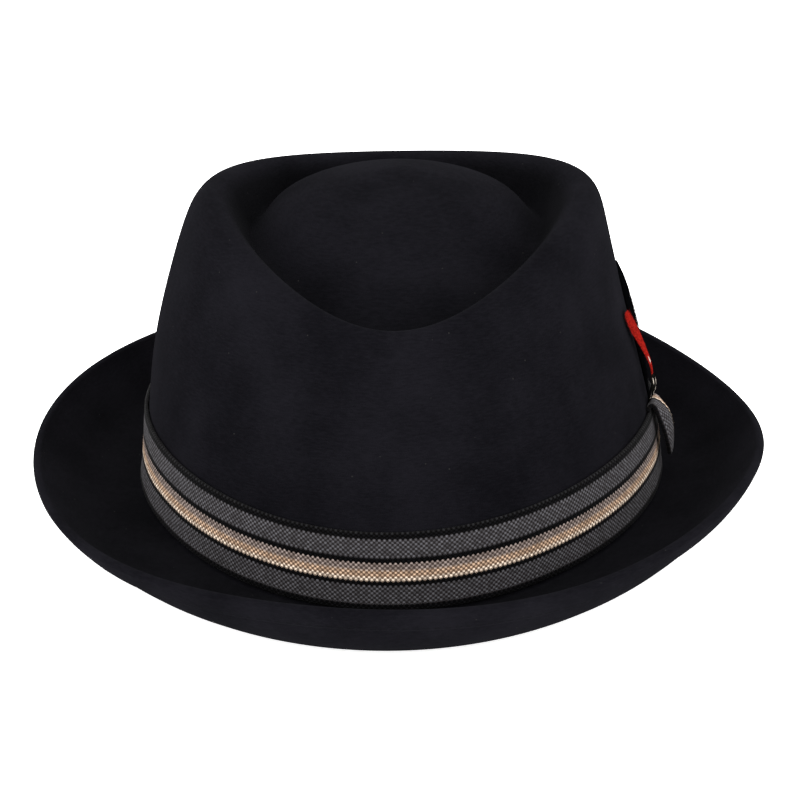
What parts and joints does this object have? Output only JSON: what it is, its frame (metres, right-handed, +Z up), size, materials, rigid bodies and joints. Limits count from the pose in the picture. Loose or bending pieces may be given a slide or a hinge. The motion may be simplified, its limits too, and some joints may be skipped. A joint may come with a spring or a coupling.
{
  "type": "felt trilby hat",
  "caption": "Black felt trilby with a diamond crown, an upturned brim, a striped ribbon band, a folded ribbon loop and small feathers.",
  "frame": {"origin": "on the surface the hat rests on, under the middle of the brim's outline", "axes": "+Z up, -Y towards the front of the hat, +X towards the wearer's left, where the feathers are"},
  "size_m": [0.2441, 0.2912, 0.1127],
  "materials": {
    "felt": "brushed felt",
    "ribbon": "ribbed weave",
    "loop_ribbon": "ribbed weave",
    "red_feather": "satin",
    "black_feather": "satin",
    "speckled_feather": "satin"
  },
  "bodies": {
    "root": {"felt_body": "felt", "hat_band": "ribbon", "band_loop": "loop_ribbon", "feather_red": "red_feather", "feather_black": "black_feather", "feather_speckled": "speckled_feather"}
  },
  "joints": []
}
